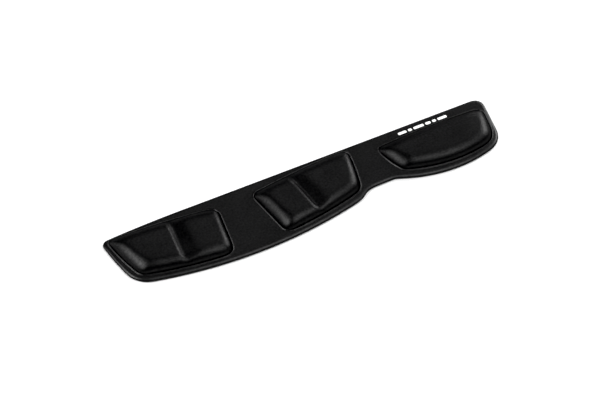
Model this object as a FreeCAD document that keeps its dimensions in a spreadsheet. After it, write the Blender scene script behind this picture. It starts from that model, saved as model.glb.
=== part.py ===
import FreeCAD, Part
import math
import os
from collections import namedtuple

from Sketcher import Constraint

# A moulded keyboard palm support: three foam cushions on a thin base, under one formed knit cover.
# Frame: +X along the length towards the number-pad end, +Y back towards the keyboard, +Z up.
# The origin is the centre of the footprint, on the underside. All sizes are in millimetres.

SIZES = {
    # Layers of the laminate
    "rubber_thickness": 1.5,
    "film_thickness": 0.1,
    "fabric_thickness": 0.6,
    "lining_thickness": 1.0,
    "base_height": 4.4,
    "pad_height": 16.0,
    "edge_round": 2.3,
    "rubber_inset": 0.4,
    "rubber_edge_round": 0.4,
    # Base outline: the sharp corners, then the bows (arc radii) of its sides and its corner roundings
    "back_left_x": -234.1,
    "back_left_y": 42.6,
    "back_bend_x": -120.0,
    "back_bend_y": 45.2,
    "back_right_x": 235.8,
    "back_right_y": 43.7,
    "front_right_x": 222.0,
    "front_right_y": -24.8,
    "waist_right_x": 88.6,
    "waist_right_y": -20.0,
    "waist_left_x": 55.0,
    "waist_left_y": -20.5,
    "lobe_right_x": 43.0,
    "lobe_right_y": -30.1,
    "front_left_x": -222.1,
    "front_left_y": -25.6,
    "back_left_bow": 1365.0,
    "right_lobe_bow": 157.0,
    "left_lobe_bow": 508.0,
    "left_side_bow": 343.0,
    "back_left_round": 6.7,
    "back_right_round": 10.0,
    "front_right_round": 29.0,
    "waist_right_round": 7.6,
    "waist_left_round": 19.6,
    "lobe_right_round": 25.6,
    "front_left_round": 28.0,
    # Left cushion; the middle cushion is its mirror image
    "mirror_x": -83.2,
    "left_back_outer_x": -228.5,
    "left_back_outer_y": 40.8,
    "left_back_inner_x": -102.9,
    "left_back_inner_y": 29.7,
    "left_front_inner_x": -113.0,
    "left_front_inner_y": -37.8,
    "left_front_outer_x": -214.5,
    "left_front_outer_y": -20.2,
    "left_back_bow": 900.0,
    "left_front_bow": 450.0,
    "left_outer_bow": 260.0,
    "left_back_outer_round": 5.0,
    "left_back_inner_round": 8.0,
    "left_front_inner_round": 11.0,
    "left_front_outer_round": 15.0,
    # Right cushion
    "right_back_left_x": 90.7,
    "right_back_left_y": 27.4,
    "right_back_right_x": 230.0,
    "right_back_right_y": 28.0,
    "right_front_right_x": 219.3,
    "right_front_right_y": -20.0,
    "right_front_left_x": 102.2,
    "right_front_left_y": -16.0,
    "right_back_bow": 960.0,
    "right_front_bow": 161.0,
    "right_left_bow": 88.0,
    "right_back_left_round": 5.0,
    "right_back_right_round": 8.0,
    "right_front_right_round": 27.0,
    "right_front_left_round": 12.0,
    # How far a cushion's walls, its back, and the right cushion's right end lean in over their height
    "wall_lean": 7.0,
    "back_lean": 13.0,
    "end_lean": 12.0,
    # The roundings round a cushion's top
    "top_corner_round": 4.0,
    "top_round": 4.0,
    # Relief channel across the left and middle cushions, deeper towards the back
    "channel_radius": 9.5,
    "channel_x": -158.5,
    "channel_floor": 8.0,
    "channel_yaw": 6.8,
    "channel_slope": 4.0,
    "channel_length": 140.0,
    # Room round a cushion when a form is sliced into its cores
    "span_margin": 5.0,
    "span_reach": 60.0,
    # Printed mark: a row of plain rounded bars
    "mark_thickness": 0.1,
    "mark_height": 3.6,
    "mark_end_round": 1.3,
    "mark_left_x": 123.0,
    "mark_middle_y": 34.6,
    "mark_gap": 2.4,
    "mark_bar_1": 10.5,
    "mark_bar_2": 4.5,
    "mark_bar_3": 13.0,
    "mark_bar_4": 6.5,
    "mark_bar_5": 4.5,
    "mark_bar_6": 11.5,
}

# Heights and insets of the layers, as expressions of the sheet's cells
LAMINATE_TOP = "Dims.rubber_thickness + Dims.film_thickness"
SKIN = "Dims.fabric_thickness + Dims.lining_thickness"
BACKING_TOP = f"Dims.base_height - ({SKIN})"
CORE_BOTTOM = f"{BACKING_TOP} + Dims.film_thickness"

# Under a wall that leans at about sixty degrees, a layer of even thickness moves in by this share of it.
WALL_SHARE = 0.58

# Two sides whose directions cross by less than this run on as one; two places closer than TOUCH are one.
NEARLY_STRAIGHT = 0.05
TOUCH = 1e-4

# A corner of an outline, with the bow and the lean of the side that follows it, going anticlockwise
Corner = namedtuple("Corner", "x y round bow lean")


def corner(name, bow=None, lean="wall_lean", rounded=True):
    return Corner(f"Dims.{name}_x", f"Dims.{name}_y", f"Dims.{name}_round" if rounded else None, bow, lean)


BASE_OUTLINE = [
    corner("front_left", "Dims.left_lobe_bow"),
    corner("lobe_right"),
    corner("waist_left"),
    corner("waist_right", "Dims.right_lobe_bow"),
    corner("front_right"),
    corner("back_right"),
    corner("back_bend", "Dims.back_left_bow", rounded=False),
    corner("back_left", "Dims.left_side_bow"),
]
LEFT_OUTLINE = [
    corner("left_front_outer", "Dims.left_front_bow"),
    corner("left_front_inner"),
    corner("left_back_inner", "Dims.left_back_bow", "back_lean"),
    corner("left_back_outer", "Dims.left_outer_bow"),
]
RIGHT_OUTLINE = [
    corner("right_front_left", "Dims.right_front_bow"),
    corner("right_front_right", lean="end_lean"),
    corner("right_back_right", "Dims.right_back_bow", "back_lean"),
    corner("right_back_left", "Dims.right_left_bow"),
]


def mirrored(outline):
    """The outline's mirror image about the plane between the left and middle cushions."""
    image = []
    for i in reversed(range(len(outline))):
        here, side = outline[i], outline[i - 1]
        image.append(here._replace(x=f"2 * Dims.mirror_x - {here.x}", bow=side.bow, lean=side.lean))
    return image


CUSHIONS = {"left": LEFT_OUTLINE, "middle": mirrored(LEFT_OUTLINE), "right": RIGHT_OUTLINE}
CHANNEL_SIDES = {"left": 1, "middle": -1}
CUSHION_SPANS = {
    "left": ("Dims.left_back_outer_x", "Dims.left_back_inner_x"),
    "middle": ("2 * Dims.mirror_x - Dims.left_back_inner_x", "2 * Dims.mirror_x - Dims.left_back_outer_x"),
    "right": ("Dims.right_back_left_x", "Dims.right_back_right_x"),
}

doc = FreeCAD.newDocument("palm_support")


def make_sheet():
    cells = doc.addObject("Spreadsheet::Sheet", "Dims")
    for row, (alias, value) in enumerate(SIZES.items(), start=1):
        cells.set(f"A{row}", alias)
        cells.set(f"B{row}", str(value))
        cells.setAlias(f"B{row}", alias)
    doc.recompute()
    return cells


sheet = make_sheet()


def value(expression):
    return float(sheet.evalExpression(expression))


# ---------- outlines ----------


def bow_centre(start, end, radius):
    """The centre of the arc that goes anticlockwise from start to end, bowing outwards."""
    chord = end - start
    inward = FreeCAD.Vector(-chord.y, chord.x, 0).normalize()
    return (start + end) * 0.5 + inward * math.sqrt(radius**2 - (chord.Length / 2) ** 2)


def inward_normal(start, end, radius, at):
    """The unit normal into the outline of one side, at a point on it."""
    if radius:
        return (bow_centre(start, end, radius) - at).normalize()
    return FreeCAD.Vector(start.y - end.y, end.x - start.x, 0).normalize()


def shift_shares(before, after):
    """How far a corner moves per millimetre of inset of the side before it, and of the side after it."""
    cross = before.x * after.y - before.y * after.x
    if abs(cross) < NEARLY_STRAIGHT:
        return FreeCAD.Vector(), after
    return FreeCAD.Vector(after.y, -after.x, 0) / cross, FreeCAD.Vector(-before.y, before.x, 0) / cross


def inset_corners(outline, insets):
    """Expressions for the corners' places once each side has moved in by its own inset."""
    points = [FreeCAD.Vector(value(c.x), value(c.y), 0) for c in outline]
    bows = [value(c.bow) if c.bow else None for c in outline]
    count = len(outline)
    placed = []
    for i, here in enumerate(outline):
        before = inward_normal(points[i - 1], points[i], bows[i - 1], points[i])
        after = inward_normal(points[i], points[(i + 1) % count], bows[i], points[i])
        a, b = shift_shares(before, after)
        x = f"{here.x} + ({a.x:.6f}) * ({insets[i - 1]}) + ({b.x:.6f}) * ({insets[i]})"
        y = f"{here.y} + ({a.y:.6f}) * ({insets[i - 1]}) + ({b.y:.6f}) * ({insets[i]})"
        placed.append((x, y))
    return placed


def offset_curve(start, end, radius, distance):
    """The whole line or circle of one side, moved inwards by a distance."""
    if radius:
        return Part.Circle(bow_centre(start, end, radius), FreeCAD.Vector(0, 0, 1), radius - distance)
    step = inward_normal(start, end, None, start) * distance
    return Part.Line(start + step, end + step)


def touch_point(side, centre):
    """The point of a side that is nearest to a centre."""
    start, end, radius = side
    if radius:
        hub = bow_centre(start, end, radius)
        return hub + (centre - hub).normalize() * radius
    along = (end - start).normalize()
    return start + along * (centre - start).dot(along)


def rounding(before, after, tip, radius):
    """The centre of a corner's rounding and the points where it meets the sides before and after it."""
    turn_in = inward_normal(*before, tip)
    turn_out = inward_normal(*after, tip)
    convex = 1 if turn_in.x * turn_out.y - turn_in.y * turn_out.x > 0 else -1
    crossings = offset_curve(*before, convex * radius).intersectCC(offset_curve(*after, convex * radius))
    centres = [FreeCAD.Vector(p.X, p.Y, 0) for p in crossings]
    centre = min(centres, key=lambda p: (p - tip).Length)
    return centre, touch_point(before, centre), touch_point(after, centre)


def arc_between(start, end, centre, radius):
    """The short arc about a centre that joins two points, always drawn anticlockwise."""
    middle = centre + ((start + end) * 0.5 - centre).normalize() * radius
    anticlockwise = (start - centre).cross(end - centre).z > 0
    return Part.Arc(start, middle, end) if anticlockwise else Part.Arc(end, middle, start)


def point_at_start(geometry, start):
    """1 if the geometry's own start is the given point, 2 if its end is."""
    return 1 if (geometry.StartPoint - start).Length < TOUCH else 2


def constrain(sketch, plain, bound):
    """Adds all constraints at once, then binds those of bound, a list of (name, constraint, expression)."""
    sketch.addConstraint(plain + [constraint for _, constraint, _ in bound])
    for index, (name, _, expression) in enumerate(bound, start=len(plain)):
        sketch.renameConstraint(index, name)
        sketch.setExpression(f"Constraints.{name}", expression)


def new_sketch(body, name, height):
    sketch = body.newObject("Sketcher::SketchObject", name)
    plane = next(f for f in body.Origin.OriginFeatures if f.Role == "XY_Plane")
    sketch.AttachmentSupport = [(plane, "")]
    sketch.MapMode = "FlatFace"
    sketch.setExpression("AttachmentOffset.Base.z", height)
    return sketch


def outline_sketch(body, name, height, outline, insets, rounds):
    """A closed outline of straight and bowed sides with rounded corners.

    insets and rounds are expressions, one to a side and one to a corner; a corner with None stays sharp.
    """
    sketch = new_sketch(body, name, height)
    places = inset_corners(outline, insets)
    tips = [FreeCAD.Vector(value(x), value(y), 0) for x, y in places]
    bows = [f"{c.bow} - ({inset})" if c.bow else None for c, inset in zip(outline, insets)]
    count = len(outline)
    sides = [(tips[i], tips[(i + 1) % count], value(bows[i]) if bows[i] else None) for i in range(count)]
    corners = []
    for i, round_size in enumerate(rounds):
        if round_size:
            corners.append(rounding(sides[i - 1], sides[i], tips[i], value(round_size)))
        else:
            corners.append((None, tips[i], tips[i]))
    plain, bound = [], []
    side_ids, starts, ends = [], [], []
    for i, (_, _, bow) in enumerate(sides):
        start, end = corners[i][2], corners[(i + 1) % count][1]
        shape = arc_between(start, end, bow_centre(*sides[i]), bow) if bow else Part.LineSegment(start, end)
        side = sketch.addGeometry(shape, False)
        first = point_at_start(sketch.Geometry[side], start)
        side_ids.append(side)
        starts.append(first)
        ends.append(3 - first)
        if bow:
            bound.append((f"bow_{i}", Constraint("Radius", side, bow), bows[i]))
    for i, (x, y) in enumerate(places):
        before, after = side_ids[i - 1], side_ids[i]
        centre, leave, join = corners[i]
        tip, tip_end = after, starts[i]
        if centre is None:
            plain.append(Constraint("Coincident", before, ends[i - 1], after, starts[i]))
        else:
            radius = value(rounds[i])
            arc = sketch.addGeometry(arc_between(leave, join, centre, radius), False)
            tip, tip_end = sketch.addGeometry(Part.Point(tips[i]), True), 1
            first = point_at_start(sketch.Geometry[arc], leave)
            plain.append(Constraint("Tangent", before, ends[i - 1], arc, first))
            plain.append(Constraint("Tangent", arc, 3 - first, after, starts[i]))
            plain.append(Constraint("PointOnObject", tip, 1, before))
            plain.append(Constraint("PointOnObject", tip, 1, after))
            bound.append((f"round_{i}", Constraint("Radius", arc, radius), rounds[i]))
        bound.append((f"x_{i}", Constraint("DistanceX", -1, 1, tip, tip_end, tips[i].x), x))
        bound.append((f"y_{i}", Constraint("DistanceY", -1, 1, tip, tip_end, tips[i].y), y))
    constrain(sketch, plain, bound)
    doc.recompute()
    if not sketch.FullyConstrained:
        raise RuntimeError(f"{name} is not fully constrained")
    return sketch


# ---------- solids ----------


def new_body(label):
    body = doc.addObject("PartDesign::Body", f"{label}_body")
    body.Label = label
    doc.recompute()
    return body


def extrude(body, profile, height):
    feature = body.newObject("PartDesign::Pad", f"{profile.Name}_pad")
    feature.Profile = profile
    feature.setExpression("Length", height)
    doc.recompute()
    return feature


def level_edges(feature, height):
    """The names of the feature's edges that lie flat at one height."""
    names = []
    for number, edge in enumerate(feature.Shape.Edges, start=1):
        box = edge.BoundBox
        if abs(box.ZMin - height) < TOUCH and abs(box.ZMax - height) < TOUCH:
            names.append(f"Edge{number}")
    return names


def round_over(body, base, height, radius):
    """Rounds the edges of a body's last feature that lie flat at one height."""
    feature = body.newObject("PartDesign::Fillet", f"{base.Name}_round")
    feature.Base = (base, level_edges(base, value(height)))
    feature.setExpression("Radius", radius)
    doc.recompute()
    return feature


def plate(body, bottom, top, inset):
    """A flat plate of the base outline, moved in by an inset."""
    rounds = [c.round for c in BASE_OUTLINE]
    profile = outline_sketch(body, f"{body.Name}_plan", bottom, BASE_OUTLINE, [inset] * len(rounds), rounds)
    return extrude(body, profile, f"({top}) - ({bottom})")


def cushion(body, side, foot, top, inset):
    """Adds a cushion with leaning walls, a rounded top edge and, where it has one, its relief channel."""
    outline = CUSHIONS[side]
    low = f"{WALL_SHARE} * ({inset})"
    lows = [low] * len(outline)
    highs = [f"{low} + Dims.{c.lean}" for c in outline]
    low_rounds = [f"{c.round} - {low}" for c in outline]
    high_rounds = [f"max({c.round} - Dims.wall_lean; Dims.top_corner_round)" for c in outline]
    name = f"{body.Name}_{side}"
    loft = body.newObject("PartDesign::AdditiveLoft", f"{name}_loft")
    loft.Profile = outline_sketch(body, f"{name}_foot", foot, outline, lows, low_rounds)
    loft.Sections = [outline_sketch(body, f"{name}_top", top, outline, highs, high_rounds)]
    loft.Ruled = True
    doc.recompute()
    round_over(body, loft, top, f"Dims.top_round - ({inset})")
    if side in CHANNEL_SIDES:
        channel(body, side, inset)


def channel(body, side, inset):
    """The trough that a slightly tilted cylinder leaves, lower at the back than at the front."""
    hand = CHANNEL_SIDES[side]
    mirror, length = value("Dims.mirror_x"), value("Dims.channel_length")
    turn = FreeCAD.Rotation(hand * value("Dims.channel_yaw"), 0, 90 + value("Dims.channel_slope"))
    along = turn.multVec(FreeCAD.Vector(0, 0, 1))
    axis_x = mirror + hand * (value("Dims.channel_x") - mirror)
    middle = FreeCAD.Vector(axis_x, 0, value("Dims.channel_floor + Dims.channel_radius"))
    cut = body.newObject("PartDesign::SubtractiveCylinder", f"{body.Name}_{side}_channel")
    cut.setExpression("Radius", f"Dims.channel_radius + {inset}")
    cut.setExpression("Height", "Dims.channel_length")
    cut.Placement = FreeCAD.Placement(middle - along * (length / 2), turn)
    doc.recompute()


def formed_layer(label, inset):
    """The solid whose surface is one formed layer: a plate with a rolled rim, and the three cushions."""
    body = new_body(label)
    top = f"Dims.base_height - ({inset})"
    slab = plate(body, LAMINATE_TOP, top, inset)
    round_over(body, slab, top, f"Dims.edge_round - ({inset})")
    for side in CUSHIONS:
        cushion(body, side, top, f"Dims.pad_height - ({inset})", inset)
    return body


# ---------- sub-parts ----------


def rubber_base():
    """The non-slip sheet that lies on the desk."""
    body = new_body("rubber_base")
    slab = plate(body, "0", "Dims.rubber_thickness", "Dims.rubber_inset")
    round_over(body, slab, "0", "Dims.rubber_edge_round")
    return body


def base_film():
    """The adhesive film between the rubber sheet and everything above it."""
    body = new_body("base_film")
    plate(body, "Dims.rubber_thickness", LAMINATE_TOP, "Dims.rubber_inset")
    return body


def backing_foam():
    """The firm foam sheet that stiffens the base."""
    body = new_body("backing_foam")
    slab = plate(body, LAMINATE_TOP, BACKING_TOP, SKIN)
    round_over(body, slab, BACKING_TOP, f"Dims.edge_round - ({SKIN})")
    return body


def slice_of(form, label, side, bottom, top):
    """The part of one cushion of a form that lies between two heights."""
    low_x, high_x = CUSHION_SPANS[side]
    box = doc.addObject("Part::Box", f"{label}_span")
    box.setExpression("Placement.Base.x", f"{low_x} - Dims.span_margin")
    box.setExpression("Placement.Base.y", "-Dims.span_reach")
    box.setExpression("Placement.Base.z", bottom)
    box.setExpression("Length", f"{high_x} - ({low_x}) + 2 * Dims.span_margin")
    box.setExpression("Width", "2 * Dims.span_reach")
    box.setExpression("Height", f"({top}) - ({bottom})")
    piece = doc.addObject("Part::Common", label)
    piece.Base = form
    piece.Tool = box
    piece.Label = label
    doc.recompute()
    return piece


def cushion_film(form, side):
    """The adhesive film that holds one foam core on the backing foam."""
    return slice_of(form, f"{side}_cushion_film", side, BACKING_TOP, CORE_BOTTOM)


def cushion_core(form, side):
    """One moulded foam core."""
    return slice_of(form, f"{side}_cushion_core", side, CORE_BOTTOM, "Dims.pad_height")


def hollowed(label, outer, inner):
    """The shell that is left of one form once the next form is taken out of it."""
    shell = doc.addObject("Part::Cut", label)
    shell.Base = outer
    shell.Tool = inner
    shell.Label = label
    doc.recompute()
    return shell


def mark_bar(number, left, length):
    """One plain bar of the printed mark, with rounded ends."""
    bar = doc.addObject("Part::Box", f"mark_bar_{number}")
    bar.setExpression("Length", length)
    bar.setExpression("Width", "Dims.mark_height")
    bar.setExpression("Height", "Dims.mark_thickness")
    bar.setExpression("Placement.Base.x", left)
    bar.setExpression("Placement.Base.y", "Dims.mark_middle_y - Dims.mark_height / 2")
    bar.setExpression("Placement.Base.z", "Dims.base_height")
    doc.recompute()
    boxes = [edge.BoundBox for edge in bar.Shape.Edges]
    upright = [i for i, box in enumerate(boxes, start=1) if box.XLength + box.YLength < TOUCH]
    radius = value("Dims.mark_end_round")
    ends = doc.addObject("Part::Fillet", f"mark_ends_{number}")
    ends.Base = bar
    ends.Edges = [(i, radius, radius) for i in upright]
    return ends


def printed_mark():
    """A row of plain rounded bars, heat-transferred on to the cover behind the right cushion."""
    bars = []
    left = "Dims.mark_left_x"
    for number in range(1, 1 + sum(name.startswith("mark_bar_") for name in SIZES)):
        length = f"Dims.mark_bar_{number}"
        bars.append(mark_bar(number, left, length))
        left = f"{left} + {length} + Dims.mark_gap"
    mark = doc.addObject("Part::Compound", "printed_mark")
    mark.Links = bars
    mark.Label = "printed_mark"
    doc.recompute()
    return mark


def build():
    cover_form = formed_layer("cover_form", "0")
    lining_form = formed_layer("lining_form", "Dims.fabric_thickness")
    filling_form = formed_layer("filling_form", SKIN)
    films = [cushion_film(filling_form, side) for side in CUSHIONS]
    cores = [cushion_core(filling_form, side) for side in CUSHIONS]
    lining = hollowed("cover_lining", lining_form, filling_form)
    cover = hollowed("fabric_cover", cover_form, lining_form)
    return [rubber_base(), base_film(), backing_foam(), *films, *cores, lining, cover, printed_mark()]


def check(parts):
    for item in doc.Objects:
        if "Invalid" in item.State or "Error" in item.State:
            raise RuntimeError(f"{item.Label} failed: {item.State}")
    for part in parts:
        if part.Shape.isNull() or not part.Shape.isValid():
            raise RuntimeError(f"{part.Label} has no valid shape")


def write(parts):
    os.makedirs("parts", exist_ok=True)
    for part in parts:
        part.Shape.exportStep(f"parts/{part.Label}.step")
        print(f"{part.Label}: {len(part.Shape.Solids)} solids, {part.Shape.Volume / 1000:.2f} cm3")


doc.recompute()
sub_parts = build()
doc.recompute()
check(sub_parts)
write(sub_parts)
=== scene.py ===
import math

import bmesh
import bpy
import numpy as np
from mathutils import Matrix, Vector
from mathutils.geometry import delaunay_2d_cdt
from mathutils.kdtree import KDTree


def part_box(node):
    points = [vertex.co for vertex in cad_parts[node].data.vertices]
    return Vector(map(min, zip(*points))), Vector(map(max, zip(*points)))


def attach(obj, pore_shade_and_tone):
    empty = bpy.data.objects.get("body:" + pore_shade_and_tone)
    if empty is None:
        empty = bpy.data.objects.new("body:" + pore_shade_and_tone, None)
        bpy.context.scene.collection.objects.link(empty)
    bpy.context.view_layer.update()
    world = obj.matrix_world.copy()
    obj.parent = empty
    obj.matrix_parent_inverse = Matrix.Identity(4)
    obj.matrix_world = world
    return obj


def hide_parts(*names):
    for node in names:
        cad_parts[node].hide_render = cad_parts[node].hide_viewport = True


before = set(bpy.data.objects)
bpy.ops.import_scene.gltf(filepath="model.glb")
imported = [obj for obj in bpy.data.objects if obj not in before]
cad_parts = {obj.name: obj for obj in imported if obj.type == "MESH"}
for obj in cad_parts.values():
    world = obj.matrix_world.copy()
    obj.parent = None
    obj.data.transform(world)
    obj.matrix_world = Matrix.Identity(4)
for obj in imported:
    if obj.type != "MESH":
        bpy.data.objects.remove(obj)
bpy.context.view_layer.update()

# The looks of a moulded keyboard palm support. One formed knit cover runs over three foam cushions
# and the thin base between them, so the cover is worked out once, as a height over the plan, and
# the lining, the cores and the backing foam lie at even depths under it. Lengths are in metres.

MM = 0.001

# ---------- heights and sizes from the frame ----------

LAMINATE_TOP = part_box("backing_foam")[0].z
BACKING_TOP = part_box("backing_foam")[1].z
CORE_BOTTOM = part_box("left_cushion_core")[0].z
FIELD_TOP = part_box("printed_mark")[0].z
RUBBER_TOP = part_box("rubber_base")[1].z
SKIN = FIELD_TOP - BACKING_TOP
MIRROR_X = (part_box("left_cushion_core")[0].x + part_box("middle_cushion_core")[1].x) / 2
MERGE = 0.002 * MM

# The cover's cloth, and the gaps between the layers under it
CLOTH = 0.55 * MM
LINING_GAP = 0.60 * MM
LINING_BACK = 1.58 * MM
CORE_GAP = 1.62 * MM

# The rim of the base: how far in and how far up its roll goes
RIM_WIDTH = 4.4 * MM
RIM_ROLL = 2.4 * MM
RIM_TURNS = (0, 15, 30, 45, 60, 75, 90)
RIM_WELD = 45
RIM_SPACING = 2.4 * MM
RIM_CLEAR = 1.6 * MM
RIM_SMOOTHING = 0.7

# The press has glazed the knit on the roll above this angle, and on this share of the rim's width
GLAZE_FROM = 15
GLAZE_SHARE = 0.5

# The cushions. Their rings lie closer together near the foot, by the power RING_CLOSING. Smoothing
# is counted in points along a ring.
RING_SPACING = 1.5 * MM
RING_COUNT = 15
RING_CLOSING = 1.5
RING_STEP = 0.3 * MM
RING_SMOOTHING = 1.0
FOOT_SMOOTHING = 0.8
TOP_SPACING = 1.25 * MM
TOP_DEPTH = 10 * MM
SHOULDER = 10.5 * MM
CROWN = 0.8 * MM
CROWN_REACH = 20 * MM
CROWN_START = 0.4
CROWN_SMOOTHING = 8

# The bead that the cover's weld leaves round each cushion's foot, and the crease inside it. It
# fades out over BEAD_FADE from the outline, and the layers below follow it only in part.
BEAD_WIDTH = 2.2 * MM
BEAD_HEIGHT = 0.85 * MM
BEAD_ROUND = 1.4
BEAD_GLAZED = (0.15, 0.95)
BEAD_FADE = (0.6 * MM, 2 * MM)
BEAD_STEPS = (0.1, 0.2, 0.3, 0.4, 0.5, 0.6, 0.7, 0.8, 0.9, 1.0)
CREASE_DEPTH = 0.2 * MM
CREASE_REACH = 0.35 * MM
BEAD_BELOW = 0.4

# How far in each side of a cushion reaches its full height, and how full its wall is: a wall's
# height goes as (1 - (1 - t) ** swell) ** (1 / rise) over that reach. SIDE is a right side, and
# END is the right side of the right cushion.
FRONT = dict(reach=12 * MM, swell=2.6, rise=2.0)
LEFT = dict(reach=14.5 * MM, swell=2.3, rise=1.3)
BACK = dict(reach=18 * MM, swell=2.2, rise=1.05)
SIDE = dict(reach=10.5 * MM, swell=2.4, rise=1.7)
END = dict(reach=13 * MM, swell=2.4, rise=1.6)

# How squarely a wall faces before it counts as a back, a right or a left one, in part and in full
BACK_FACING = (0.3, 0.9)
RIGHT_FACING = (0.5, 0.9)
LEFT_FACING = (0.4, 0.85)
WALL_BLEND = 5 * MM

# Each cushion's foot is rounder than its film at its right corners, and lies inside the film on
# its right side.
RIGHT_ROUNDING = 3.0
RIGHT_CORNERS = 12 * MM
INSET_SMOOTHING = 4
RIGHT_INSET = {"left": 0.5 * MM, "middle": 1.5 * MM, "right": 2.4 * MM}

# The relief trough across the left and middle cushions: its place left of the mirror plane, how
# it leans, where its steep and its gentle side start, how steep they are, and how rounded its
# bottom and its edges are. It closes towards the front foot, over TROUGH_END from it, down to the
# share TROUGH_LEFT of its depth.
TROUGH_OFFSET = 75.3 * MM
TROUGH_LEAN = math.radians(6.4)
TROUGH_SPAN = (-9.3 * MM, 9.4 * MM)
TROUGH_SLOPES = (1.0, 0.42)
TROUGH_SOFT = 0.8 * MM
TROUGH_EDGE = 1.2 * MM
TROUGH_END = (2 * MM, 12 * MM)
TROUGH_LEFT = 0.3

# The swelling of each cushion under its foam's pressure, and how far it may move a point
SWELL_SCALE = 10
SWELL_PRESSURE = 4.0
SWELL_FRAMES = 20
SWELL_QUALITY = 5
SWELL_HELD_RINGS = 3
SWELL_LIMIT = 0.6 * MM
SWELL_SMOOTHING = 30

# Twice the area, in square metres, under which a triangle of a plan mesh is dropped
SLIVER = 1e-16

# The field's points, and how far they stay clear of the hems, of the rim's rings and of each other
FIELD_SPACING = 3.2 * MM
HEM_SPACING = 1.2 * MM
HEM_ROOM = 0.7 * MM
RIM_ROOM = 0.35 * MM
GRID_ROOM = 0.55
CAP_ROOM = 0.6

# The layers and plates below the field, and the tread of the rubber's underside
LAYER_FOOT = 0.1 * MM
CORE_FOOT = 0.05 * MM
CORE_SMOOTHING = 0.7
BACKING_GAP = 0.02 * MM
BACKING_CHAMFER = 0.2 * MM
PLATE_SPACING = 6 * MM
UNDER_SPACING = 1.5 * MM
FILM_MARGIN = 0.6 * MM
RUBBER_MARGIN = 0.42 * MM
RUBBER_ROUND = 0.35 * MM
TREAD_PITCH = 5.6 * MM
TREAD_DEPTH = 0.32 * MM
TREAD_DIMPLE = (-0.25, 0.6)
TREAD_MARGIN = (2 * MM, 4 * MM)


# ---------- plan curves ----------


def plan_loops(node, height):
    """The closed boundary loops, in plan, of a node's faces that lie flat at a height, longest first."""
    bm = bmesh.new()
    bm.from_mesh(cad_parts[node].data)
    bmesh.ops.remove_doubles(bm, verts=bm.verts, dist=MERGE)
    flat = {f for f in bm.faces if all(abs(v.co.z - height) < 2 * MERGE for v in f.verts)}
    beside = {}
    for edge in bm.edges:
        if sum(f in flat for f in edge.link_faces) == 1:
            a, b = edge.verts
            beside.setdefault(a, []).append(b)
            beside.setdefault(b, []).append(a)
    loops = []
    while beside:
        start = min(beside, key=lambda v: (v.co.x, v.co.y))
        path, here = [start], beside[start][0]
        while here is not start:
            path.append(here)
            here = next(v for v in beside[here] if v is not path[-2])
        loops.append(np.array([v.co.xy[:] for v in path]))
        for v in path:
            del beside[v]
    bm.free()
    return sorted((anticlockwise(p) for p in loops), key=perimeter, reverse=True)


def perimeter(points):
    return np.linalg.norm(np.roll(points, -1, 0) - points, axis=1).sum()


def anticlockwise(points):
    x, y = points.T
    area = (x * np.roll(y, -1) - y * np.roll(x, -1)).sum()
    return points if area > 0 else points[::-1]


def even(points, count, *carried):
    """A closed loop with evenly spaced points, and the values carried along it."""
    closed = np.vstack([points, points[:1]])
    along = np.concatenate([[0], np.cumsum(np.linalg.norm(np.diff(closed, axis=0), axis=1))])
    places = np.linspace(0, along[-1], count, endpoint=False)
    spread = np.column_stack([np.interp(places, along, closed[:, i]) for i in (0, 1)])
    values = [np.interp(places, along, np.append(c, c[0])) for c in carried]
    return (spread, *values) if carried else spread


def smoothed(values, reach):
    """Values round a closed loop, averaged over a reach counted in points."""
    width = int(3 * reach) + 1
    weights = np.exp(-0.5 * (np.arange(-width, width + 1) / reach) ** 2)
    weights /= weights.sum()
    return sum(w * np.roll(values, s, 0) for w, s in zip(weights, range(-width, width + 1)))


def inward(points):
    """Unit normals into an anticlockwise loop."""
    along = np.roll(points, -1, 0) - np.roll(points, 1, 0)
    along /= np.linalg.norm(along, axis=1)[:, None]
    return np.column_stack([-along[:, 1], along[:, 0]])


def moved_in(points, distance):
    """A loop moved inwards by a small distance, in steps that keep it tidy."""
    steps = max(1, math.ceil(abs(distance) / RING_STEP))
    for _ in range(steps):
        points = smoothed(even(points + inward(points) * (distance / steps), len(points)), 0.6)
    return points


def inside(places, loop):
    """Which places lie inside a loop."""
    hit = np.zeros(len(places), bool)
    for (ax, ay), (bx, by) in zip(loop, np.roll(loop, -1, 0)):
        if ay != by:
            spans = (ay > places[:, 1]) != (by > places[:, 1])
            hit ^= spans & (places[:, 0] < ax + (places[:, 1] - ay) / (by - ay) * (bx - ax))
    return hit


def distance_to(places, loop):
    """How far each place is from a loop, and the index of the loop's nearest point."""
    best = np.full(len(places), np.inf)
    nearest = np.zeros(len(places), int)
    ends = np.roll(loop, -1, 0)
    for i, (a, b) in enumerate(zip(loop, ends)):
        side = b - a
        share = np.clip((places - a) @ side / (side @ side), 0, 1)
        gap = np.linalg.norm(places - (a + share[:, None] * side), axis=1)
        closer = gap < best
        best[closer] = gap[closer]
        nearest[closer] = i
    return best, nearest


def staggered(loop, spacing):
    """A staggered grid of places over a loop's box."""
    low, high = loop.min(0), loop.max(0)
    rows = np.arange(low[1], high[1], spacing * math.sqrt(0.75))
    columns = np.arange(low[0], high[0] + spacing, spacing)
    shift = np.where(np.arange(len(rows)) % 2, spacing / 2, 0)
    x = columns[None, :] + shift[:, None]
    return np.column_stack([x.ravel(), np.repeat(rows, len(columns))])


def filling(loop, spacing):
    """A staggered grid of places inside a loop, clear of its border."""
    grid = staggered(loop, spacing)
    grid = grid[inside(grid, loop)]
    gap, _ = distance_to(grid, loop)
    return grid[gap > CAP_ROOM * spacing]


# ---------- small helpers ----------


def eased(value, low, high):
    """0 below low, 1 above high, and a smooth step between."""
    t = np.clip((value - low) / (high - low), 0, 1)
    return t * t * (3 - 2 * t)


def above(a, b, rounding):
    """The greater of two heights, with a rounded corner where they cross."""
    return rounding * np.logaddexp(a / rounding, b / rounding)


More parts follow.
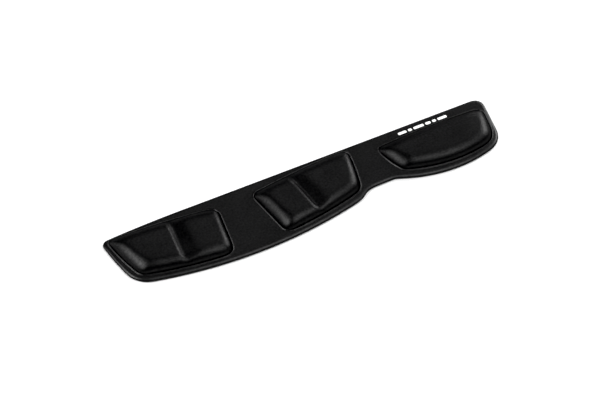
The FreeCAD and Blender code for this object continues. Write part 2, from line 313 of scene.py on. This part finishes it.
def triangles(places, edges, outer, holes):
    """A Delaunay mesh of places between an outer loop and its holes, which keeps the given edges."""
    found = delaunay_2d_cdt([Vector(p / MM) for p in places], edges, [], 0, 1e-5)
    if len(found[0]) != len(places):
        raise RuntimeError(f"the plan mesh has {len(found[0])} places for {len(places)}")
    source = np.array([ids[0] for ids in found[3]])
    faces = source[np.array(found[2])]
    a, b, c = (places[faces[:, i]] for i in range(3))
    area = (b[:, 0] - a[:, 0]) * (c[:, 1] - a[:, 1]) - (b[:, 1] - a[:, 1]) * (c[:, 0] - a[:, 0])
    faces[area < 0] = faces[area < 0][:, ::-1]
    centre = places[faces].mean(1)
    keep = inside(centre, outer) & (np.abs(area) > SLIVER)
    for hole in holes:
        keep &= ~inside(centre, hole)
    return faces[keep].tolist()


def ring_edges(start, count):
    return [(start + i, start + (i + 1) % count) for i in range(count)]


def ring_quads(outer, inner, count):
    """Faces between two rings of an anticlockwise plan, facing up."""
    pairs = [(i, (i + 1) % count) for i in range(count)]
    return [[outer + i, outer + j, inner + j, inner + i] for i, j in pairs]


# ---------- the cushions in plan ----------


class Cushion:
    """One cushion's rings, from its foot line in to where its wall reaches full height.

    hand is 1 for the left cushion's trough, -1 for its mirror image, and 0 for no trough.
    """

    def __init__(self, name, hand):
        self.name = name
        self.hand = hand
        film = plan_loops(f"{name}_cushion_film", BACKING_TOP)[0]
        self.count = round(perimeter(film) / RING_SPACING)
        foot = smoothed(even(film, self.count), FOOT_SMOOTHING)
        x = foot[:, 0]
        at_corners = eased(x, x.mean(), x.max() - RIGHT_CORNERS)
        foot = foot + (smoothed(foot, RIGHT_ROUNDING) - foot) * at_corners[:, None]
        facing = -inward(foot)
        at_right = eased(facing[:, 0], *RIGHT_FACING)
        inset = RIGHT_INSET[name] * smoothed(at_right, INSET_SMOOTHING)
        self.foot = foot - facing * inset[:, None]
        self.shares = np.linspace(0, 1, RING_COUNT) ** RING_CLOSING
        self.rings = [(self.foot, *self.wall_values(facing, at_right))]
        for step in np.diff(self.shares):
            self.rings.append(self.next_ring(self.rings[-1], step))
        self.fill_top()

    def wall_values(self, facing, at_right):
        """The walls' reach, swell and rise along the foot, by where each part of it faces."""
        at_back = eased(facing[:, 1], *BACK_FACING)
        at_left = eased(-facing[:, 0], *LEFT_FACING)
        right = END if self.name == "right" else SIDE
        for key, front in FRONT.items():
            mixed = front + (BACK[key] - front) * at_back + (right[key] - front) * at_right
            mixed = mixed + (LEFT[key] - front) * at_left
            yield smoothed(mixed, WALL_BLEND / RING_SPACING)

    @staticmethod
    def next_ring(ring, step):
        """The ring that lies one share of the walls' reach further in."""
        points, reach, swell, rise = ring
        parts = max(1, math.ceil(step * reach.max() / RING_STEP))
        for _ in range(parts):
            points = points + inward(points) * (reach * step / parts)[:, None]
            points, reach, swell, rise = even(points, len(points), reach, swell, rise)
            points = smoothed(points, RING_SMOOTHING)
        return points, reach, swell, rise

    def fill_top(self):
        """Places and faces of the whole cushion: its rings, then the top inside the last ring."""
        edge = self.rings[-1][0]
        grid = filling(edge, TOP_SPACING)
        last = (RING_COUNT - 1) * self.count
        self.places = np.vstack([ring[0] for ring in self.rings] + [grid])
        runs = [share * ring[1] for share, ring in zip(self.shares, self.rings)]
        self.depth = np.concatenate(runs + [np.full(len(grid), TOP_DEPTH)])
        top = triangles(np.vstack([edge, grid]), ring_edges(0, self.count), edge, [])
        self.faces = [[last + i for i in face] for face in top]
        for k in range(RING_COUNT - 1):
            self.faces += ring_quads(k * self.count, (k + 1) * self.count, self.count)

    def heights(self):
        """Height over the field of every place."""
        rise, depth = [], []
        for share, (_, reach, swell, power) in zip(self.shares, self.rings):
            rise.append(SHOULDER * (1 - (1 - share) ** swell) ** (1 / power))
            depth.append(np.maximum(share - CROWN_START, 0) * reach)
        edge, reach = self.rings[-1][:2]
        grid = self.places[RING_COUNT * self.count :]
        gap, nearest = distance_to(grid, edge)
        rise.append(np.full(len(grid), SHOULDER))
        depth.append(gap + (1 - CROWN_START) * smoothed(reach, CROWN_SMOOTHING)[nearest])
        rise = np.concatenate(rise)
        crown = CROWN * (1 - np.exp(-((np.concatenate(depth) / CROWN_REACH) ** 2)))
        return self.with_trough(rise + crown * np.minimum(1, rise / SHOULDER))

    def with_trough(self, height):
        """The heights with the relief trough pressed into them, where the cushion has one."""
        if not self.hand:
            return height
        x = self.places[:, 0] - MIRROR_X + self.hand * TROUGH_OFFSET
        y = self.places[:, 1]
        across = (x - self.hand * math.tan(TROUGH_LEAN) * y) * math.cos(TROUGH_LEAN)
        steep = TROUGH_SLOPES[0] * (across - TROUGH_SPAN[0])
        gentle = TROUGH_SLOPES[1] * (TROUGH_SPAN[1] - across)
        depth = above(-above(-steep, -gentle, TROUGH_SOFT), 0, TROUGH_EDGE)
        run, _ = distance_to(self.places, self.foot)
        open_share = TROUGH_LEFT + (1 - TROUGH_LEFT) * eased(run, *TROUGH_END)
        closing = np.where(y < self.foot[:, 1].mean(), open_share, 1)
        return height * (1 - closing * depth / SHOULDER)


# ---------- the cover's form ----------


class Form:
    """The top surface of the whole support: rolled rim, flat field, and cushions with beaded feet."""

    def __init__(self):
        loop = plan_loops("fabric_cover", LAMINATE_TOP)[0]
        self.outline = smoothed(even(loop, round(perimeter(loop) / RIM_SPACING)), RIM_SMOOTHING)
        self.cushions = [Cushion("left", 1), Cushion("middle", -1), Cushion("right", 0)]
        self.points, self.beads, self.pressed, self.faces = [], [], [], []
        self.add_rim()
        self.add_cushions()
        self.add_hems()
        self.add_field()
        self.points = np.vstack(self.points)
        self.beads = np.concatenate(self.beads)
        self.pressed = np.concatenate(self.pressed)
        self.swell()

    def swell(self):
        """Fills the cushions out by a cloth simulation, held at their feet."""
        for cushion in self.cushions:
            own = slice(cushion.start, cushion.start + len(cushion.places))
            held = cushion.count * SWELL_HELD_RINGS
            settled = swollen(self.points[own], cushion.faces, held)
            move = relaxed(settled - self.points[own], cushion.faces, SWELL_SMOOTHING)
            length = np.linalg.norm(move, axis=1)[:, None]
            self.points[own] += move * (SWELL_LIMIT / (SWELL_LIMIT + length))

    def add(self, plan, heights, beads=0.0, pressed=0.0):
        """Adds points, and returns the first one's number. Pressed is how far heat glazed the knit."""
        start = sum(map(len, self.points))
        self.points.append(np.column_stack([plan, np.broadcast_to(heights, len(plan))]))
        self.beads.append(np.broadcast_to(beads, len(plan)))
        self.pressed.append(np.broadcast_to(pressed, len(plan)))
        return start

    def roll_ring(self, angle):
        """A ring on the rim's roll: 0 degrees on its upright side, 90 on the flat."""
        turn = math.radians(angle)
        plan = moved_in(self.outline, RIM_WIDTH * (1 - math.cos(turn)))
        return plan, FIELD_TOP - RIM_ROLL * (1 - math.sin(turn))

    def add_rim(self):
        count = len(self.outline)
        below = self.add(self.outline, LAMINATE_TOP)
        for angle in RIM_TURNS[: RIM_TURNS.index(RIM_WELD) + 1]:
            plan, height = self.roll_ring(angle)
            glaze = max(0, angle - GLAZE_FROM) / (RIM_WELD - GLAZE_FROM)
            start = self.add(plan, height, 0.0, glaze)
            self.faces += ring_quads(below, start, count)
            below = start
        self.weld, self.weld_start = plan, below

    def add_cushions(self):
        for cushion in self.cushions:
            crease = -CREASE_DEPTH * np.exp(-((cushion.depth / CREASE_REACH) ** 2))
            cushion.start = self.add(cushion.places, FIELD_TOP + cushion.heights(), crease)
            self.faces += [[cushion.start + i for i in face] for face in cushion.faces]

    def add_hems(self):
        """The rings of the bead round each cushion's foot."""
        for cushion in self.cushions:
            below = cushion.start
            room, _ = distance_to(cushion.foot, self.outline)
            width = smoothed(np.minimum(BEAD_WIDTH, room - RIM_CLEAR), 2)
            for step in BEAD_STEPS:
                out = step * width
                cushion.hem = cushion.foot - inward(cushion.foot) * out[:, None]
                height, fade, _ = self.field_height(cushion.hem)
                bead = BEAD_HEIGHT * fade * math.sin(step * math.pi) ** BEAD_ROUND
                bead = bead - CREASE_DEPTH * np.exp(-((out / CREASE_REACH) ** 2))
                glaze = float(BEAD_GLAZED[0] < step < BEAD_GLAZED[1])
                cushion.hem_start = self.add(cushion.hem, height, bead, glaze)
                self.faces += ring_quads(cushion.hem_start, below, cushion.count)
                below = cushion.hem_start

    def field_height(self, places):
        """Height of the flat and of the roll at its edge, how far a bead stands clear, and the glaze."""
        to_rim, _ = distance_to(places, self.outline)
        short = np.maximum(1 - to_rim / RIM_WIDTH, 0)
        height = FIELD_TOP - RIM_ROLL * (1 - np.sqrt(1 - short**2))
        glaze = 1 - eased(to_rim, GLAZE_SHARE * RIM_WIDTH, RIM_WIDTH)
        return height, eased(to_rim, *BEAD_FADE), glaze

    def field_places(self):
        """Places between the rim and the cushions, each kept clear of those before it."""
        kept, rooms = [], []
        for cushion in self.cushions:
            kept.append(cushion.hem)
            rooms.append(0.0)
            kept.append(moved_in(cushion.hem, -HEM_SPACING))
            rooms.append(HEM_ROOM)
        kept.append(self.weld)
        rooms.append(0.0)
        for angle in RIM_TURNS[RIM_TURNS.index(RIM_WELD) + 1 :]:
            kept.append(self.roll_ring(angle)[0])
            rooms.append(RIM_ROOM)
        kept.append(staggered(self.outline, FIELD_SPACING))
        rooms.append(GRID_ROOM * FIELD_SPACING)
        order = sorted(range(len(kept)), key=lambda i: rooms[i])
        fixed = np.vstack([kept[i] for i in order if rooms[i] == 0])
        free = []
        for i in order:
            if rooms[i] > 0:
                places = kept[i][self.in_field(kept[i])]
                placed = np.vstack([fixed, *free])
                free.append(places[far_from(places, placed, rooms[i])])
        return np.vstack(free)

    def in_field(self, places):
        found = inside(places, self.weld)
        for cushion in self.cushions:
            found &= ~inside(places, cushion.hem)
        return found

    def add_field(self):
        free = self.field_places()
        height, _, glaze = self.field_height(free)
        start = self.add(free, height, 0.0, glaze)
        loops = [(self.weld, self.weld_start)] + [(c.hem, c.hem_start) for c in self.cushions]
        places = np.vstack([loop for loop, _ in loops] + [free])
        numbers, edges, count = [], [], 0
        for loop, first in loops:
            numbers += range(first, first + len(loop))
            edges += ring_edges(count, len(loop))
            count += len(loop)
        numbers += range(start, start + len(free))
        holes = [c.hem for c in self.cushions]
        for face in triangles(places, edges, self.weld, holes):
            self.faces.append([numbers[i] for i in face])


def far_from(places, others, room):
    """Which places lie further than a distance from all others."""
    tree = KDTree(len(others))
    for i, (x, y) in enumerate(others):
        tree.insert((x, y, 0), i)
    tree.balance()
    return np.array([tree.find((x, y, 0))[2] > room for x, y in places], bool)


# ---------- meshes ----------


def new_mesh(name, points, faces, sharp_angle=40):
    mesh = bpy.data.meshes.new(name)
    mesh.from_pydata(np.asarray(points).tolist(), [], faces)
    mesh.validate()
    mesh.update()
    mesh.polygons.foreach_set("use_smooth", np.ones(len(mesh.polygons), bool))
    mesh.set_sharp_from_angle(angle=math.radians(sharp_angle))
    return mesh


def new_piece(name, points, faces, material, sharp_angle=40):
    """A mesh piece that rides on the support, finished with the given material."""
    piece = bpy.data.objects.new(name, new_mesh(name, points, faces, sharp_angle))
    bpy.context.scene.collection.objects.link(piece)
    piece.data.materials.append(material)
    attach(piece, "root")
    return piece


def swollen(points, faces, held):
    """Where a skin's points settle when pressure fills it, with its first points held in place."""
    scene = bpy.context.scene
    piece = bpy.data.objects.new("swelling", new_mesh("swelling", points * SWELL_SCALE, faces))
    scene.collection.objects.link(piece)
    piece.vertex_groups.new(name="held").add(list(range(held)), 1.0, "REPLACE")
    modifier = piece.modifiers.new("swelling", "CLOTH")
    modifier.point_cache.frame_end = SWELL_FRAMES
    modifier.settings.quality = SWELL_QUALITY
    modifier.settings.vertex_group_mass = "held"
    modifier.settings.use_pressure = True
    modifier.settings.uniform_pressure_force = SWELL_PRESSURE
    modifier.settings.effector_weights.gravity = 0
    for number in range(1, SWELL_FRAMES + 1):
        scene.frame_set(number)
    found = np.empty(len(points) * 3, np.float32)
    settled = piece.evaluated_get(bpy.context.evaluated_depsgraph_get())
    settled.data.vertices.foreach_get("co", found)
    bpy.data.objects.remove(piece)
    scene.frame_set(1)
    return found.reshape(-1, 3) / SWELL_SCALE


def relaxed(values, faces, rounds):
    """Values at a mesh's points, averaged with their neighbours' again and again."""
    pairs = np.array([(a, b) for face in faces for a, b in zip(face, face[1:] + face[:1])])
    count = np.bincount(pairs.ravel(), minlength=len(values))[:, None]
    for _ in range(rounds):
        total = np.zeros_like(values)
        np.add.at(total, pairs[:, 0], values[pairs[:, 1]])
        np.add.at(total, pairs[:, 1], values[pairs[:, 0]])
        values = 0.5 * values + 0.5 * total / count
    return values


def layer_of(form, depth, follow):
    """The form's surface moved down by a depth, with a share of its beads and creases."""
    points = form.points - depth * normals_of(form.points, form.faces)
    points[:, 2] += follow * form.beads
    points[:, 2] = np.maximum(points[:, 2], LAMINATE_TOP + LAYER_FOOT)
    points[: len(form.outline), 2] = LAMINATE_TOP
    return points


def normals_of(points, faces):
    mesh = bpy.data.meshes.new("normals")
    mesh.from_pydata(points.tolist(), [], faces)
    mesh.update()
    normals = np.empty(len(points) * 3, np.float32)
    mesh.vertex_normals.foreach_get("vector", normals)
    bpy.data.meshes.remove(mesh)
    return normals.reshape(-1, 3).astype(float)


def border_of(faces):
    """The edges that only one face uses, in the direction in which that face runs."""
    used = {(a, b) for face in faces for a, b in zip(face, face[1:] + face[:1])}
    return [(a, b) for a, b in used if (b, a) not in used]


def shell(outer, inner, faces):
    """Points and faces of a closed sheet between two surfaces of the same faces."""
    count = len(outer)
    made = list(faces)
    made += [[i + count for i in reversed(face)] for face in faces]
    made += [[b, a, a + count, b + count] for a, b in sorted(border_of(faces))]
    return np.vstack([outer, inner]), made


def cap(loop, spacing, facing_up):
    """Places and faces that fill a loop; the loop's own points come first."""
    places = np.vstack([loop, filling(loop, spacing)])
    faces = triangles(places, ring_edges(0, len(loop)), loop, [])
    return places, faces if facing_up else [face[::-1] for face in faces]


def slab(outline, rings, top_spacing, bottom_spacing):
    """A closed plate. rings are (inset, height) from its bottom edge up to its top edge."""
    count = len(outline)
    loops = [moved_in(outline, inset) if inset else outline for inset, _ in rings]
    low, low_faces = cap(loops[0], bottom_spacing, False)
    high, high_faces = cap(loops[-1], top_spacing, True)
    sets = [low, *loops[1:-1], high]
    points = [np.column_stack([plan, np.full(len(plan), z)]) for plan, (_, z) in zip(sets, rings)]
    faces, below, total = list(low_faces), 0, len(low)
    for plan in sets[1:]:
        faces += ring_quads(below, total, count)
        below, total = total, total + len(plan)
    faces += [[below + i for i in face] for face in high_faces]
    return np.vstack(points), faces


def roll_below(depth):
    """(inset, height) down the rim's roll, for a layer at a depth under the cover's surface."""
    rings = []
    for angle in RIM_TURNS:
        turn = math.radians(angle)
        normal = Vector((RIM_ROLL * math.cos(turn), RIM_WIDTH * math.sin(turn))).normalized()
        inset = RIM_WIDTH * (1 - math.cos(turn)) + depth * normal.x
        rings.append((inset, FIELD_TOP - RIM_ROLL * (1 - math.sin(turn)) - depth * normal.y))
    return rings


# ---------- pieces ----------


def cover_piece(form, material):
    outer, inner = layer_of(form, 0, 1), layer_of(form, CLOTH, BEAD_BELOW)
    points, faces = shell(outer, inner, form.faces)
    piece = new_piece("knit_cover", points, faces, material)
    glaze = piece.data.attributes.new("pressed", "FLOAT", "POINT")
    glaze.data.foreach_set("value", np.tile(form.pressed, 2))
    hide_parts("fabric_cover")
    return piece


def lining_piece(form, material):
    outer, inner = layer_of(form, LINING_GAP, BEAD_BELOW), layer_of(form, LINING_BACK, 0)
    points, faces = shell(outer, inner, form.faces)
    piece = new_piece("foam_lining", points, faces, material)
    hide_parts("cover_lining")
    return piece


def core_piece(form, cushion, material):
    normals = normals_of(form.points, form.faces)
    own = slice(cushion.start, cushion.start + len(cushion.places))
    skin = form.points[own] - CORE_GAP * normals[own]
    skin[: cushion.count, 2] = np.maximum(skin[: cushion.count, 2], CORE_BOTTOM + CORE_FOOT)
    foot = smoothed(skin[: cushion.count, :2], CORE_SMOOTHING)
    low, low_faces = cap(foot, PLATE_SPACING, False)
    base = len(skin)
    points = np.vstack([skin, np.column_stack([low, np.full(len(low), CORE_BOTTOM)])])
    faces = list(cushion.faces) + ring_quads(base, 0, cushion.count)
    faces += [[base + i for i in face] for face in low_faces]
    piece = new_piece(f"{cushion.name}_foam_core", points, faces, material)
    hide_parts(f"{cushion.name}_cushion_core")
    return piece


def film_piece(cushion, material):
    rings = [(0, BACKING_TOP), (0, CORE_BOTTOM)]
    outline = moved_in(cushion.foot, FILM_MARGIN)
    points, faces = slab(outline, rings, PLATE_SPACING, PLATE_SPACING)
    piece = new_piece(f"{cushion.name}_bond_film", points, faces, material)
    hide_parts(f"{cushion.name}_cushion_film")
    return piece


def backing_piece(form, material):
    rings = roll_below(SKIN + BACKING_GAP)
    inset = rings[0][0]
    edge = [(inset + BACKING_CHAMFER, LAMINATE_TOP), (inset, LAMINATE_TOP + BACKING_CHAMFER)]
    rings = edge + rings
    rings[-1] = (rings[-1][0], BACKING_TOP)
    points, faces = slab(form.outline, rings, PLATE_SPACING, PLATE_SPACING)
    piece = new_piece("base_foam", points, faces, material)
    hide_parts("backing_foam")
    return piece


def rubber_piece(form, material):
    """The non-slip base. Shallow dimples cover its underside, inside a plain margin."""
    turns = [math.radians(a) for a in (0, 30, 60, 90)]
    rings = [(RUBBER_ROUND * (1 - math.sin(a)), RUBBER_ROUND * (1 - math.cos(a))) for a in turns]
    rings += [(0, RUBBER_TOP - 0.15 * MM), (0.04 * MM, RUBBER_TOP - 0.04 * MM), (0.15 * MM, RUBBER_TOP)]
    outline = moved_in(form.outline, RUBBER_MARGIN)
    points, faces = slab(outline, rings, PLATE_SPACING, UNDER_SPACING)
    under = points[:, 2] < MERGE
    places = points[under, :2]
    ripple = np.prod(np.cos(places * 2 * math.pi / TREAD_PITCH), axis=1)
    margin, _ = distance_to(places, outline)
    points[under, 2] = TREAD_DEPTH * eased(margin, *TREAD_MARGIN) * eased(ripple, *TREAD_DIMPLE)
    piece = new_piece("rubber_sole", points, faces, material)
    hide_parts("rubber_base")
    return piece


def finish_node(name, material):
    """Gives a frame part that stays on show its procedural finish."""
    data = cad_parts[name].data
    data.materials.clear()
    data.materials.append(material)


# ---------- materials ----------

KNIT_PITCH = 0.62 * MM
KNIT_YARN = (0.0024, 0.0024, 0.0026)
KNIT_GLOSS = 0.012
KNIT_GLAZE = 0.022
KNIT_ROUGHNESS = 0.41


def new_material(name):
    material = bpy.data.materials.new(name)
    material.use_nodes = True
    nodes = material.node_tree.nodes
    return material, nodes, material.node_tree.links, nodes["Principled BSDF"]


def node(nodes, kind, **values):
    """A shader node with some of its inputs or settings set."""
    made = nodes.new(f"ShaderNode{kind}")
    for key, value in values.items():
        socket = made.inputs.get(key.replace("_", " "))
        if socket:
            socket.default_value = value
        else:
            setattr(made, key, value)
    return made


def remapped(material, value, low, high):
    """A value from 0 to 1 spread over a range."""
    spread = node(material.node_tree.nodes, "MapRange", To_Min=low, To_Max=high)
    material.node_tree.links.new(value, spread.inputs["Value"])
    return spread.outputs["Result"]


def combined(material, operation, a, b):
    made = node(material.node_tree.nodes, "Math", operation=operation)
    for socket, value in zip(made.inputs, (a, b)):
        if isinstance(value, float):
            socket.default_value = value
        else:
            material.node_tree.links.new(value, socket)
    return made.outputs[0]


def noise(material, size, detail):
    """Noise with features of about a size, in the object's own space."""
    nodes, links = material.node_tree.nodes, material.node_tree.links
    made = node(nodes, "TexNoise", Scale=1 / size, Detail=detail)
    links.new(node(nodes, "TexCoord").outputs["Object"], made.inputs["Vector"])
    return made.outputs["Fac"]


def cells(material, size, randomness):
    """Rounded cells of about a size: 0 at their middles and 1 at their edges."""
    nodes, links = material.node_tree.nodes, material.node_tree.links
    made = node(nodes, "TexVoronoi", Scale=1 / size, Randomness=randomness)
    links.new(node(nodes, "TexCoord").outputs["Object"], made.inputs["Vector"])
    return made.outputs["Distance"]


def bumped(material, height, distance, strength):
    made = node(material.node_tree.nodes, "Bump", Distance=distance, Strength=strength)
    material.node_tree.links.new(height, made.inputs["Height"])
    return made.outputs["Normal"]


def knit_material():
    """A fine black knit: a soft dark yarn with an even, low gloss, mottled from stitch to stitch, with
    painted shade in the sunk gaps between stitches, in its colour and its gloss.
    """
    material, nodes, links, shader = new_material("black_knit")
    nodes.remove(shader)
    stitches = cells(material, KNIT_PITCH, 0.3)
    # Painted shade: the yarn's colour darkens at the cells' edges, the gaps that the bump below sinks
    # between stitches.
    stitch_gap_shade = remapped(material, stitches, 1.2, 0.7)
    mottle_and_gap_shade = combined(material, "MULTIPLY", noise(material, 2.2 * MM, 2), stitch_gap_shade)
    wide = remapped(material, noise(material, 24 * MM, 1), 0.75, 1.25)
    tone_and_gap_shade = combined(material, "MULTIPLY", remapped(material, mottle_and_gap_shade, 0.25, 1.75), wide)
    yarn = node(nodes, "VectorMath", operation="SCALE")
    yarn.inputs[0].default_value = KNIT_YARN
    links.new(tone_and_gap_shade, yarn.inputs["Scale"])
    sunk = combined(material, "MULTIPLY", stitches, 0.4)
    height = combined(material, "SUBTRACT", noise(material, 2.6 * MM, 2), sunk)
    normal = bumped(material, height, 0.12 * MM, 0.5)
    matt = node(nodes, "BsdfDiffuse", Roughness=0.6)
    links.new(yarn.outputs[0], matt.inputs["Color"])
    links.new(normal, matt.inputs["Normal"])
    gloss = node(nodes, "BsdfGlossy", Roughness=KNIT_ROUGHNESS, distribution="BECKMANN")
    gloss.inputs["Color"].default_value = (1, 1, 1, 1)
    links.new(normal, gloss.inputs["Normal"])
    mix = node(nodes, "MixShader")
    glaze = node(nodes, "Attribute", attribute_name="pressed").outputs["Fac"]
    shine = remapped(material, glaze, KNIT_GLOSS, KNIT_GLAZE)
    # The gloss follows the same tone, so the painted shade in the stitch gaps dims it too.
    links.new(combined(material, "MULTIPLY", tone_and_gap_shade, shine), mix.inputs[0])
    links.new(matt.outputs[0], mix.inputs[1])
    links.new(gloss.outputs[0], mix.inputs[2])
    links.new(mix.outputs[0], nodes["Material Output"].inputs["Surface"])
    return material


def varied(material, value, dark, light):
    """A colour between two, by a value from 0 to 1."""
    mix = node(material.node_tree.nodes, "MixRGB", Color1=(*dark, 1), Color2=(*light, 1))
    material.node_tree.links.new(value, mix.inputs["Fac"])
    return mix.outputs["Color"]


def foam_material(name, colour, pore):
    """Open-cell foam: pores sunk into a matt foam whose tone varies a little from place to place, with
    painted shade darkening the pore hollows.
    """
    material, nodes, links, shader = new_material(name)
    pores = cells(material, pore, 1.0)
    wide = remapped(material, noise(material, 9 * MM, 2), 0.85, 1.1)
    # Painted shade: the colour darkens towards each cell's middle, the pore hollow that the bump sinks.
    pore_shade_and_tone = combined(material, "MULTIPLY", remapped(material, pores, 0.55, 1.1), wide)
    dark = tuple(0.6 * c for c in colour)
    links.new(varied(material, pore_shade_and_tone, dark, colour), shader.inputs["Base Color"])
    links.new(remapped(material, pores, 0.95, 0.8), shader.inputs["Roughness"])
    links.new(bumped(material, pores, 0.5 * pore, 0.6), shader.inputs["Normal"])
    return material


def rubber_material():
    """Black rubber with a fine grain and a dull, slightly uneven shine."""
    material, nodes, links, shader = new_material("black_rubber")
    wide = noise(material, 14 * MM, 3)
    grain = noise(material, 0.5 * MM, 2)
    colour = varied(material, wide, (0.013, 0.013, 0.014), (0.03, 0.03, 0.031))
    links.new(colour, shader.inputs["Base Color"])
    links.new(remapped(material, wide, 0.55, 0.8), shader.inputs["Roughness"])
    links.new(bumped(material, grain, 0.05 * MM, 0.4), shader.inputs["Normal"])
    shader.inputs["Specular IOR Level"].default_value = 0.35
    return material


def film_material():
    """Milky hot-melt film, smooth, with faint ripples."""
    material, nodes, links, shader = new_material("bond_film")
    ripples = noise(material, 6 * MM, 2)
    colour = varied(material, ripples, (0.66, 0.65, 0.6), (0.8, 0.79, 0.75))
    links.new(colour, shader.inputs["Base Color"])
    links.new(remapped(material, ripples, 0.25, 0.45), shader.inputs["Roughness"])
    links.new(bumped(material, ripples, 0.05 * MM, 0.3), shader.inputs["Normal"])
    return material


def ink_material():
    """White ink, thinner where the knit's stitches stand proud of it."""
    material, nodes, links, shader = new_material("white_ink")
    stitches = cells(material, KNIT_PITCH, 0.3)
    wide = remapped(material, noise(material, 3 * MM, 2), 0.8, 1.3)
    wear = combined(material, "MULTIPLY", remapped(material, stitches, 1.1, 0.6), wide)
    colour = varied(material, wear, (0.45, 0.45, 0.45), (0.86, 0.86, 0.85))
    links.new(colour, shader.inputs["Base Color"])
    links.new(bumped(material, stitches, 0.05 * MM, 0.4), shader.inputs["Normal"])
    shader.inputs["Roughness"].default_value = 0.6
    return material


# ---------- stage ----------

AIM = Vector((-17.8, 1.4, 0)) * MM
CAMERA_AZIMUTH = -27.59
CAMERA_HEIGHT = 47.93
CAMERA_DISTANCE = 1898 * MM
CAMERA_LENS = 105.4

FLOOR_SIZE = 6
FLOOR_GAP = 0.05 * MM
FLOOR_SHADE = 0.87
WORLD_STRENGTH = 0.05
BLACK_LEVEL = 0.003

# Each light: name, azimuth and elevation in degrees, distance, width and height in metres, watts
LIGHTS = (
    ("left_box", -101, 40, 1.6, 0.5, 0.5, 20),
    ("left_low", -128, 10, 1.5, 0.8, 0.3, 4),
    ("right_box", 127, 11, 1.6, 0.9, 0.3, 10),
    ("right_high", 106, 24, 1.6, 0.6, 0.4, 18),
    ("back_box", 156, 48, 3.0, 2.0, 0.9, 12),
    ("overhead", 41, 63, 2.0, 1.4, 1.4, 28),
)


def direction(azimuth, elevation):
    """A unit vector towards a place seen from the support: azimuth 0 is the front, 90 the right end."""
    a, e = math.radians(azimuth), math.radians(elevation)
    return Vector((math.sin(a) * math.cos(e), -math.cos(a) * math.cos(e), math.sin(e)))


def aimed(thing, place):
    thing.location = place
    thing.rotation_mode = "QUATERNION"
    thing.rotation_quaternion = (AIM - place).to_track_quat("-Z", "Y")
    bpy.context.scene.collection.objects.link(thing)


def add_camera():
    lens = bpy.data.cameras.new("camera")
    lens.lens = CAMERA_LENS
    camera = bpy.data.objects.new("camera", lens)
    aimed(camera, AIM + direction(CAMERA_AZIMUTH, CAMERA_HEIGHT) * CAMERA_DISTANCE)
    bpy.context.scene.camera = camera


def add_light(name, azimuth, elevation, distance, width, height, power):
    lamp = bpy.data.lights.new(name, "AREA")
    lamp.shape = "RECTANGLE"
    lamp.size, lamp.size_y = width, height
    lamp.energy = power
    aimed(bpy.data.objects.new(name, lamp), AIM + direction(azimuth, elevation) * distance)


def add_stage():
    material, nodes, links, shader = new_material("pale_floor")
    shader.inputs["Base Color"].default_value = (FLOOR_SHADE, FLOOR_SHADE, FLOOR_SHADE, 1)
    shader.inputs["Roughness"].default_value = 1.0
    shader.inputs["Specular IOR Level"].default_value = 0.0
    bpy.ops.mesh.primitive_plane_add(size=FLOOR_SIZE, location=(0, 0, -FLOOR_GAP))
    floor = bpy.context.object
    floor.name = "floor"
    floor.data.materials.append(material)
    world = bpy.data.worlds.new("studio")
    world.use_nodes = True
    background = world.node_tree.nodes["Background"]
    background.inputs["Color"].default_value = (1, 1, 1, 1)
    background.inputs["Strength"].default_value = WORLD_STRENGTH
    bpy.context.scene.world = world
    view = bpy.context.scene.view_settings
    view.view_transform = "Standard"
    view.use_curve_mapping = True
    view.curve_mapping.black_level = (BLACK_LEVEL, BLACK_LEVEL, BLACK_LEVEL)
    for light in LIGHTS:
        add_light(*light)


# ---------- the support ----------


def build():
    form = Form()
    cover_piece(form, knit_material())
    lining_piece(form, foam_material("lining_foam", (0.08, 0.08, 0.085), 0.4 * MM))
    core_foam = foam_material("core_foam", (0.62, 0.6, 0.52), 0.7 * MM)
    film = film_material()
    for cushion in form.cushions:
        core_piece(form, cushion, core_foam)
        film_piece(cushion, film)
    backing_piece(form, foam_material("backing_foam", (0.05, 0.05, 0.055), 0.5 * MM))
    rubber_piece(form, rubber_material())
    finish_node("base_film", film)
    finish_node("printed_mark", ink_material())


build()
add_stage()
add_camera()
